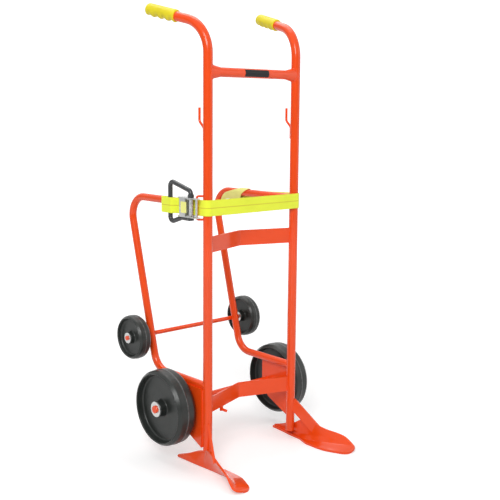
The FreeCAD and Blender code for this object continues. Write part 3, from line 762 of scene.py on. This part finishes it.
class TROLLEY_OT_wheels(bpy.types.Operator):
    """Charcoal moulded wheels with painted highlights on the tread, and bright washers"""
    bl_idname = "trolley.wheels"
    bl_label = "Wheels and washers"

    def section(self, box, wide, bore_r, hub_r, rim, web, shoulder, crown):
        """Closed section of a wheel: hub, dished web, rim and a crowned tread with a moulding line.

        Each corner is (along, radius, cut); along is measured outwards from the middle of the tread. From web
        to tread the inner side mirrors the outer one. Only the hub reaches further in.
        """
        low, high = box
        r = (high[2] - low[2]) / 2
        half = wide / 2
        hub_end = high[0] - low[0] - half
        rim_r = r - rim
        side = [
            (web / 2, hub_r + HUB_STEP, WEB_HUB_CUT),
            (web / 2, rim_r - RIM_STEP, WEB_RIM_CUT),
            (half - RIM_LIP, rim_r, RIM_CUT),
            (half, rim_r + RIM_STEP, RIM_CUT),
            (half, r - shoulder, SHOULDER_CUT),
            (half - shoulder, r - crown, CROWN_CUT),
            (LINE_HALF, r - crown * LINE_FOOT_SHARE, LINE_FOOT_CUT),
        ]
        mirrored = [(-along, radius, cut) for along, radius, cut in reversed(side)]
        start = [(-hub_end, bore_r, BORE_CUT), (half, bore_r, BORE_CUT), (half, hub_r, HUB_CUT)]
        return np.array(start + side + [(0.0, r, LINE_TOP_CUT)] + mirrored + [(-hub_end, hub_r, HUB_CUT)])

    def turned(self, name, centre, outline, cuts):
        """A wheel turned from a closed outline of (along, radius) corners, eased and spun round the axle.

        At angle t an outline point of radius r stands at the centre plus r times cosine and sine of t across
        the axle.
        """
        profile = eased_corners(outline[None], cuts, 6)[0]
        t = np.linspace(0.0, 2 * np.pi, 144, endpoint=False)
        x = np.broadcast_to(centre[0] + profile[:, :1], (len(profile), len(t)))
        y = centre[1] + profile[:, 1:] * np.cos(t)
        z = centre[2] + profile[:, 1:] * np.sin(t)
        return band_skin(name, np.stack([x, y, z], axis=-1), np.zeros((len(profile) + 1, len(t) + 1, 2)))

    def pair(self, kind, sizes):
        """Both wheels of a kind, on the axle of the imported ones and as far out."""
        low, high = (np.array(corner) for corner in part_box(kind + "_wheel_right"))
        middle = (low + high) / 2
        colour = tuple(bpy.context.scene.trolley_colours.wheel)
        axle = (middle[1], middle[2], (high - low)[2] / 2)
        material = coated(kind.capitalize() + " wheel rubber", colour, axle)
        corners = self.section((low, high), *sizes)
        for side, sign in SIDES.items():
            centre = (sign * (high[0] - sizes[0] / 2), middle[1], middle[2])
            outline = corners[:, :2] * np.array([sign, 1.0])
            piece = self.turned(kind + "_wheel_body_" + side, centre, outline, corners[:, 2])
            settle(piece, material, side + "_" + kind + "_wheel", kind + "_wheel_" + side)

    def execute(self, context):
        for kind, sizes in WHEELS.items():
            self.pair(kind, sizes)
        zinc = tuple(context.scene.trolley_colours.zinc)
        dress(["main_washers", "rear_washers"], coated("Bright zinc washer", zinc))
        return {"FINISHED"}


class TROLLEY_OT_welds(bpy.types.Operator):
    """Painted weld beads where tubes and plates meet the uprights"""
    bl_idname = "trolley.welds"
    bl_label = "Weld beads"

    def seams(self, sign):
        """Lines of the beads on one side: closed loops round tube ends and open lines along plates.

        A loop round a rear frame's end is the frame's circle laid on the upright's cylinder; the one round
        the cross tube is the upright's half circle with a height that follows the spread end.
        """
        t = np.linspace(0.0, 2 * np.pi, 121)
        x = REAR_TUBE_X + REAR_TUBE_R * np.cos(t)
        back = np.sqrt(np.clip(UPRIGHT_R ** 2 - (x - UPRIGHT_X) ** 2, 0.0, None))
        found = []
        for z in REAR_FRAME_ENDS:
            found.append(np.stack([sign * x, UPRIGHT_Y + back, z + REAR_TUBE_R * np.sin(t)], axis=-1))
        x = UPRIGHT_X - UPRIGHT_R * np.abs(np.cos(t))
        y = UPRIGHT_Y + UPRIGHT_R * np.sin(t)
        length, wider = CROSS_SPREAD
        tall = UPRIGHT_R + wider * (x - UPRIGHT_X + length) / length
        found.append(np.stack([sign * x, y, CROSS_TUBE_Z + tall * np.cos(t)], axis=-1))
        for z in CRADLE_Z:
            for place, deep in CRADLE_SEAMS:
                ends = (z - CRADLE_HALF_HEIGHT, z + CRADLE_HALF_HEIGHT)
                found.append(self.upright_line(sign * place, deep, *ends))
        place, deep = AXLE_PLATE_SEAM
        found.append(self.upright_line(sign * place, deep, *AXLE_PLATE_ENDS))
        return found

    def upright_line(self, x, deep, low, high):
        """Points on a line that stands upright, deep behind the middle of the uprights."""
        z = np.linspace(low, high, 90)
        return np.stack([np.full(len(z), x), np.full(len(z), UPRIGHT_Y + deep), z], axis=-1)

    def bead(self, name, path):
        """A rippled round along a line.

        The radius swells with a sine of the length and closes at the ends with the root of the distance.
        """
        along = distances(path)
        tangent = directions(path)
        across = np.cross(tangent, np.array(BEAD_ASIDE))
        across /= np.linalg.norm(across, axis=1)[:, None]
        upward = np.cross(tangent, across)
        ends = np.minimum(along, along[-1] - along) / (2 * BEAD_R)
        ripple = 1 + BEAD_RIPPLE * np.sin(2 * np.pi * along / BEAD_PITCH)
        radius = BEAD_R * ripple * np.clip(ends, BEAD_END, 1.0) ** 0.5
        t = np.linspace(0.0, 2 * np.pi, 12, endpoint=False)
        round_it = across[:, None] * np.cos(t)[None, :, None] + upward[:, None] * np.sin(t)[None, :, None]
        return skin(name, path[:, None] + round_it * radius[:, None, None])

    def execute(self, context):
        for side, sign in SIDES.items():
            for number, path in enumerate(self.seams(sign), 1):
                piece = self.bead("weld_" + side + "_" + str(number), path)
                settle(piece, bpy.data.materials[PAINT], ROOT)
        return {"FINISHED"}


class TROLLEY_OT_buckle(bpy.types.Operator):
    """Plated ratchet buckle with a bare tab, dark ring lever and bare label plate"""
    bl_idname = "trolley.buckle"
    bl_label = "Buckle and label"

    def sticker(self, colour):
        """A bare tab on the cover plate: a rectangle with its corners eased, as thin as a sticker."""
        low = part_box("ratchet_frame")[0]
        y = UPRIGHT_Y + np.array(STICKER_PLACE)
        z = BELT_MID_Z + STICKER_HALF_HEIGHT * np.array([-1.0, 1.0])
        corners = np.array([[(y[0], z[0]), (y[1], z[0]), (y[1], z[1]), (y[0], z[1])]])
        outline = eased_corners(corners, np.full(4, STICKER_ROUND), 8)[0]
        faces = low[0] + np.array([STICKER_SINK, -STICKER_THICKNESS])
        rings = np.stack([np.column_stack([np.full(len(outline), x), outline]) for x in faces])
        settle(skin("buckle_sticker", rings), coated("Pale tab", colour), ROOT)

    def execute(self, context):
        colours = context.scene.trolley_colours
        dress(["ratchet_frame", "ratchet_spindle", "ratchet_pawl"], coated("Zinc plate", tuple(colours.zinc)))
        dress(["ratchet_lever"], coated("Dark lever coat", tuple(colours.lever)))
        self.sticker(tuple(colours.sling))
        dress(["label_plate"], coated("Bare label", tuple(colours.label)))
        return {"FINISHED"}


class TROLLEY_OT_grips(bpy.types.Operator):
    """Yellow moulded grips with finger hollows underneath"""
    bl_idname = "trolley.grips"
    bl_label = "Hand grips"

    def radii(self, sizes, t):
        """Distances s along a grip and its radius at each distance and angle t.

        The radius is the grip's own, less a hollow that follows the square of a sine along the fingers and
        only bites below, plus low ribs on top. It is drawn in at the lip and along an arc at the far end.
        """
        radius = sizes.grip_diameter / 2
        round_end = radius * GRIP_ROUND
        straight = np.linspace(0.0, sizes.grip_length - round_end, 120)
        q = np.linspace(0.0, np.pi / 2, 16)[1:]
        s = np.concatenate([straight, sizes.grip_length - round_end + round_end * np.sin(q)])
        closing = np.concatenate([np.ones(len(straight)), 1 - GRIP_ROUND * (1 - np.cos(q))])
        lip = 1 - GRIP_LIP_SHARE * np.clip(1 - s / GRIP_LIP, 0.0, 1.0) ** 2
        below = np.clip(-np.sin(t), 0.0, 1.0) ** FINGER_SPREAD
        above = np.clip(np.sin(t), 0.0, 1.0) ** 2
        fingers = np.sin(np.pi * sizes.finger_count * s / sizes.grip_length) ** 2
        ribs = GRIP_RIB_HEIGHT * np.sin(2 * np.pi * s / GRIP_RIB_PITCH) * (s <= straight[-1])
        sleeve = radius * closing * lip
        hollows = sizes.finger_depth * fingers[:, None] * below
        return s, sleeve[:, None] - hollows + ribs[:, None] * above

    def grip(self, name, sign, sizes):
        """A sleeve along the handle: at distance s and angle t a point stands off the axis by the radius."""
        level = np.array([sign * math.sin(HANDLE_SPLAY), math.cos(HANDLE_SPLAY), 0.0])
        up = np.array([0.0, 0.0, 1.0])
        along = level * math.cos(HANDLE_RISE) + up * math.sin(HANDLE_RISE)
        turn = (math.pi / 2 - HANDLE_RISE) / 2
        corner_z = HANDLE_BEND_START + HANDLE_BEND_R * math.tan(turn)
        corner = np.array([sign * UPRIGHT_X, UPRIGHT_Y, corner_z])
        start = corner + along * (HANDLE_REACH - sizes.grip_length + GRIP_CAP)
        side = np.cross(along, up)
        side /= np.linalg.norm(side)
        over = np.cross(side, along)
        t = np.linspace(0.0, 2 * np.pi, 72, endpoint=False)
        s, r = self.radii(sizes, t)
        around = side[None, :] * np.cos(t)[:, None] + over[None, :] * np.sin(t)[:, None]
        return skin(name, start + along * s[:, None, None] + around[None, :, :] * r[:, :, None])

    def execute(self, context):
        material = coated("Yellow grip", tuple(context.scene.trolley_colours.grip))
        for side, sign in SIDES.items():
            piece = self.grip("hand_grip_" + side, sign, context.scene.trolley_sizes)
            settle(piece, material, ROOT, "grip_" + side)
        return {"FINISHED"}


class TROLLEY_OT_belt(bpy.types.Operator):
    """Bright webbing from the right rear frame round both uprights and through the buckle, with its sling"""
    bl_idname = "trolley.belt"
    bl_label = "Belt"

    def webbing(self, name, colour, thread_share):
        """A material of the weave on the strap's own map, with clouds on Object coordinates."""
        sizes = bpy.context.scene.trolley_sizes
        thread = tuple(bpy.context.scene.trolley_colours.belt_line)
        material, tree, shader = new_material(name)
        flat = tree.nodes.new("ShaderNodeUVMap")
        flat.uv_map = "Along"
        place = tree.nodes.new("ShaderNodeTexCoord")
        shades = [darker(colour, share) for share in (WEAVE_CLOUD_SHADE, WEAVE_SHADE, HEM_SHADE)]
        values = (flat.outputs["UV"], place.outputs["Object"], 2 * math.pi / sizes.weave_pitch,
                  sizes.belt_width / 2, colour, *shades, thread, thread_share)
        weave = place_group(tree, weave_group(), values)
        tree.links.new(weave.outputs["Colour"], shader.inputs["Base Color"])
        tree.links.new(weave.outputs["Roughness"], shader.inputs["Roughness"])
        shader.inputs["Sheen Weight"].default_value = WEAVE_SHEEN
        shader.inputs["Specular IOR Level"].default_value = WEAVE_SPECULAR
        bump(tree, shader, weave.outputs["Height"], WEAVE_BUMP, WEAVE_DEPTH)
        return material

    def belt(self, sizes, material):
        """Webbing along straight runs and arcs round the uprights, sloping down behind the right one."""
        half = sizes.belt_thickness / 2
        middle = UPRIGHT_R + BELT_GAP + half
        right = (UPRIGHT_X, UPRIGHT_Y)
        left = (-UPRIGHT_X, UPRIGHT_Y)
        back = (UPRIGHT_X + middle, UPRIGHT_Y + BELT_BACK_RUN)
        entry = (SPINDLE[0] + SPINDLE_R + BELT_GAP + half, SPINDLE[1])
        lean = math.atan2(entry[0] + UPRIGHT_X + middle, entry[1] - left[1])
        plan = np.concatenate([
            run(back, (right[0] + middle, right[1]), 60),
            arc(right, middle, 0.0, -np.pi / 2, 14)[:-1],
            run((right[0], right[1] - middle), (left[0], left[1] - middle), 80),
            arc(left, middle, -np.pi / 2, -np.pi - lean, 14)[:-1],
            run(arc(left, middle, -np.pi - lean, 0.0, 2)[0], entry, 12),
            run(entry, (entry[0], entry[1] + BELT_THROUGH_RUN), 10),
        ])
        behind = np.clip((plan[:, 1] - right[1]) / BELT_BACK_RUN, 0.0, 1.0) * (plan[:, 0] > 0)
        heights = BELT_MID_Z - BELT_DROP * behind
        belt, length = strap("belt_webbing", plan, heights, sizes.belt_width, sizes.belt_thickness)
        settle(belt, material, ROOT, "belt")

    def sling(self, sizes, material):
        """The sewn eye on the right rear frame: a skewed band round the tube, hanging slack below it.

        At angle t round the tube and share s across the band, the place along the tube is the middle less a
        skew times the sine of t, plus s times a width that grows towards the bottom. The band follows the
        tube's bend, and below the axis it drops by the square of the sine.
        """
        r = REAR_TUBE_R + BELT_GAP + sizes.belt_thickness / 2 + SLING_SLACK
        t = np.linspace(0.0, 2 * np.pi, 72, endpoint=False)
        s = np.linspace(-0.5, 0.5, 40)
        edges = np.sqrt(np.clip(1 - np.abs(2 * s) ** SLING_EDGE_POWER, 0.0, 1.0))
        thick = edges * sizes.belt_thickness / 2
        share = np.concatenate([s, s[::-1]])[:, None]
        sine = np.sin(t)[None, :]
        place = SLING_Y - SLING_SKEW * sine + share * (SLING_WIDTH - SLING_WIDEN * sine)
        radius = r + np.concatenate([thick, -thick[::-1]])
        x = REAR_TUBE_X + radius[:, None] * np.cos(t)[None, :]
        over = np.clip(place - REAR_BEND_Y, 0.0, REAR_BEND_R)
        fall = REAR_BEND_R - np.sqrt(REAR_BEND_R ** 2 - over ** 2)
        hang = SLING_HANG * np.clip(-sine, 0.0, 1.0) ** 2
        z = REAR_TUBE_Z + radius[:, None] * sine - hang - fall
        rings = np.stack([x, place, z], axis=-1)
        v = np.concatenate([s, s[::-1], s[:1]]) * sizes.belt_width + sizes.belt_width / 2
        u = np.append(t, 2 * np.pi) * r
        uv = np.stack(np.broadcast_arrays(u[None, :], v[:, None]), axis=-1)
        sling = band_skin("belt_sling", rings, uv)
        settle(sling, material, ROOT)

    def execute(self, context):
        sizes = context.scene.trolley_sizes
        colours = context.scene.trolley_colours
        self.belt(sizes, self.webbing(WEBBING, tuple(colours.belt), THREAD_SHARE))
        self.sling(sizes, self.webbing("Pale webbing", tuple(colours.sling), 0.0))
        return {"FINISHED"}


class TROLLEY_OT_belt_tail(bpy.types.Operator):
    """The tail of the webbing, folded round the grip of the ring lever"""
    bl_idname = "trolley.belt_tail"
    bl_label = "Belt tail"

    def tail(self, sizes):
        """Webbing that crosses to the far side along a cubic ease, folds in a half circle and comes back."""
        half = sizes.belt_thickness / 2
        near = TAIL_HIGH[0] - half
        far = TAIL_LOW[0] + half
        bend = (near - far) / 2
        fold = TAIL_HIGH[1] - half - bend
        x, y = near + TAIL_START[0], TAIL_LOW[1] + TAIL_START[1]
        t = np.linspace(0.0, 1.0, 30)[:-1]
        ease = t * t * (3 - 2 * t)
        plan = np.concatenate([
            np.stack([x + (far - x) * ease, y + TAIL_BEND_RUN * t], axis=-1),
            run((far, y + TAIL_BEND_RUN), (far, fold), 40),
            arc((far + bend, fold), bend, np.pi, 0.0, 24)[:-1],
            run((near, fold), (near, UPRIGHT_Y + TAIL_RETURN), 24),
        ])
        heights = np.full(len(plan), BELT_MID_Z)
        return strap("belt_tail_webbing", plan, heights, sizes.belt_width, sizes.belt_thickness)

    def execute(self, context):
        sizes = context.scene.trolley_sizes
        tail, length = self.tail(sizes)
        settle(tail, bpy.data.materials[WEBBING], LEVER, "belt_tail")
        return {"FINISHED"}


def seen_rays(tree):
    """The light path node and the sum of its camera, glossy and transmission rays."""
    rays = tree.nodes.new("ShaderNodeLightPath")
    seen = math_node(tree, "ADD", rays.outputs["Is Camera Ray"], rays.outputs["Is Glossy Ray"])
    return rays, math_node(tree, "ADD", seen, rays.outputs["Is Transmission Ray"])


class TROLLEY_OT_stage(bpy.types.Operator):
    """Pale floor with a cove behind it, soft lamps and the photograph's camera"""
    bl_idname = "trolley.stage"
    bl_label = "Stage"

    def floor(self):
        """A floor profile carried sideways: level, then a quarter circle up, then a wall."""
        q = np.linspace(0.0, np.pi / 2, 24)
        y = np.concatenate([[FLOOR_FRONT], FLOOR_BACK + COVE_R * np.sin(q), [FLOOR_BACK + COVE_R]])
        z = np.concatenate([[0.0], COVE_R * (1 - np.cos(q)), [WALL_TOP]])
        turn = -CAMERA_AZIMUTH
        wide = np.linspace(-FLOOR_HALF_WIDTH, FLOOR_HALF_WIDTH, 3)
        side = np.array([math.cos(turn), -math.sin(turn)])
        deep = np.array([math.sin(turn), math.cos(turn)])
        plan = wide[:, None, None] * side + y[None, :, None] * deep
        rows, columns = plan.shape[:2]
        points = np.concatenate([plan, np.broadcast_to(z[None, :, None], (rows, columns, 1))], axis=-1)
        index = np.arange(rows * columns).reshape(rows, columns)
        quads = np.stack([index[:-1, :-1], index[1:, :-1], index[1:, 1:], index[:-1, 1:]], axis=-1)
        piece = new_piece("floor", points.reshape(-1, 3), quads.reshape(-1, 4).tolist())
        piece.data.materials.append(self.floor_material())

    def floor_material(self):
        """A diffuse floor that keeps the shadow, plus a light of its own for camera and mirror rays."""
        material, tree, shader = new_material("Pale floor")
        shader.inputs["Base Color"].default_value = FLOOR_COLOUR
        shader.inputs["Roughness"].default_value = FLOOR_ROUGHNESS
        shader.inputs["Specular IOR Level"].default_value = 0.0
        seen = seen_rays(tree)[1]
        glow = tree.nodes.new("ShaderNodeEmission")
        place = tree.nodes.new("ShaderNodeTexCoord")
        reach = tree.nodes.new("ShaderNodeVectorMath")
        reach.operation = "LENGTH"
        tree.links.new(place.outputs["Object"], reach.inputs[0])
        share = spread(tree, reach.outputs["Value"], *GLOW_RANGE)
        tree.links.new(math_node(tree, "MULTIPLY", seen, share), glow.inputs["Strength"])
        both = tree.nodes.new("ShaderNodeAddShader")
        tree.links.new(shader.outputs["BSDF"], both.inputs[0])
        tree.links.new(glow.outputs["Emission"], both.inputs[1])
        tree.links.new(both.outputs["Shader"], tree.nodes["Material Output"].inputs["Surface"])
        return material

    def lamps(self, context):
        """Large soft lamps: key from the front left, fill from the right, and one above."""
        aim = Vector(LAMP_AIM)
        for name, (place, size, power) in LAMPS.items():
            lamp = bpy.data.lights.new(name, "AREA")
            lamp.energy = power
            lamp.size = size
            holder = bpy.data.objects.new(name, lamp)
            context.scene.collection.objects.link(holder)
            holder.location = place
            holder.rotation_euler = (aim - Vector(place)).to_track_quat("-Z", "Y").to_euler()

    def world(self, context):
        """White to the camera, a soft fill on the object, and in reflections darker near the horizon."""
        world = bpy.data.worlds.new("Studio")
        context.scene.world = world
        world.use_nodes = True
        tree = world.node_tree
        back = tree.nodes["Background"]
        back.inputs["Color"].default_value = WHITE
        rays, seen = seen_rays(tree)
        place = tree.nodes.new("ShaderNodeTexCoord")
        split = tree.nodes.new("ShaderNodeSeparateXYZ")
        tree.links.new(place.outputs["Generated"], split.inputs["Vector"])
        height = spread(tree, split.outputs["Z"], *MIRROR_RANGE)
        mirrored = math_node(tree, "MULTIPLY", rays.outputs["Is Glossy Ray"], height)
        direct = math_node(tree, "ADD", rays.outputs["Is Camera Ray"], rays.outputs["Is Transmission Ray"])
        fill = math_node(tree, "MULTIPLY", math_node(tree, "SUBTRACT", 1.0, seen), WORLD_FILL)
        strength = math_node(tree, "ADD", math_node(tree, "ADD", direct, mirrored), fill)
        tree.links.new(strength, back.inputs["Strength"])

    def camera(self, context):
        """The photograph's camera: turned by its azimuth, tipped down by its pitch, then rolled."""
        lens = bpy.data.cameras.new("camera")
        lens.lens = CAMERA_LENS
        lens.sensor_width = CAMERA_SENSOR
        lens.clip_end = CAMERA_REACH
        holder = bpy.data.objects.new("camera", lens)
        context.scene.collection.objects.link(holder)
        right = Vector((math.cos(CAMERA_AZIMUTH), math.sin(CAMERA_AZIMUTH), 0.0))
        ahead = Vector((-math.sin(CAMERA_AZIMUTH), math.cos(CAMERA_AZIMUTH), 0.0))
        up = Vector((0.0, 0.0, 1.0))
        look = ahead * math.cos(CAMERA_PITCH) - up * math.sin(CAMERA_PITCH)
        head = up * math.cos(CAMERA_PITCH) + ahead * math.sin(CAMERA_PITCH)
        side = right * math.cos(CAMERA_ROLL) + head * math.sin(CAMERA_ROLL)
        top = head * math.cos(CAMERA_ROLL) - right * math.sin(CAMERA_ROLL)
        turn = Matrix((side, top, -look)).transposed().to_4x4()
        holder.matrix_world = Matrix.Translation(Vector(CAMERA_PLACE)) @ turn
        context.scene.camera = holder
        context.scene.view_settings.view_transform = "Standard"

    def execute(self, context):
        self.floor()
        self.lamps(context)
        self.world(context)
        self.camera(context)
        return {"FINISHED"}


class TROLLEY_PT_panel(bpy.types.Panel):
    """Lists the trolley's sizes, colours and pieces."""
    bl_idname = "TROLLEY_PT_panel"
    bl_label = "Drum trolley"
    bl_space_type = "VIEW_3D"
    bl_region_type = "UI"
    bl_category = "Trolley"

    def draw(self, context):
        for group in (context.scene.trolley_sizes, context.scene.trolley_colours):
            for name in group.__annotations__:
                self.layout.prop(group, name)
        for piece in PIECES:
            self.layout.operator(piece.bl_idname)


PIECES = (TROLLEY_OT_paint, TROLLEY_OT_feet, TROLLEY_OT_wheels, TROLLEY_OT_welds, TROLLEY_OT_buckle,
          TROLLEY_OT_grips, TROLLEY_OT_belt, TROLLEY_OT_belt_tail, TROLLEY_OT_stage)
CLASSES = (TrolleySizes, TrolleyColours) + PIECES + (TROLLEY_PT_panel,)


def register():
    """Registers the classes and hangs both property groups on the scene."""
    for each in CLASSES:
        bpy.utils.register_class(each)
    bpy.types.Scene.trolley_sizes = bpy.props.PointerProperty(type=TrolleySizes)
    bpy.types.Scene.trolley_colours = bpy.props.PointerProperty(type=TrolleyColours)


def unregister():
    """Takes back what register did, in reverse order."""
    del bpy.types.Scene.trolley_colours
    del bpy.types.Scene.trolley_sizes
    for each in reversed(CLASSES):
        bpy.utils.unregister_class(each)


def main():
    """Registers the add-on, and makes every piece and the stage."""
    register()
    bpy.ops.trolley.paint()
    bpy.ops.trolley.feet()
    bpy.ops.trolley.wheels()
    bpy.ops.trolley.welds()
    bpy.ops.trolley.buckle()
    bpy.ops.trolley.grips()
    bpy.ops.trolley.belt()
    bpy.ops.trolley.belt_tail()
    bpy.ops.trolley.stage()


if __name__ == "__main__":
    main()
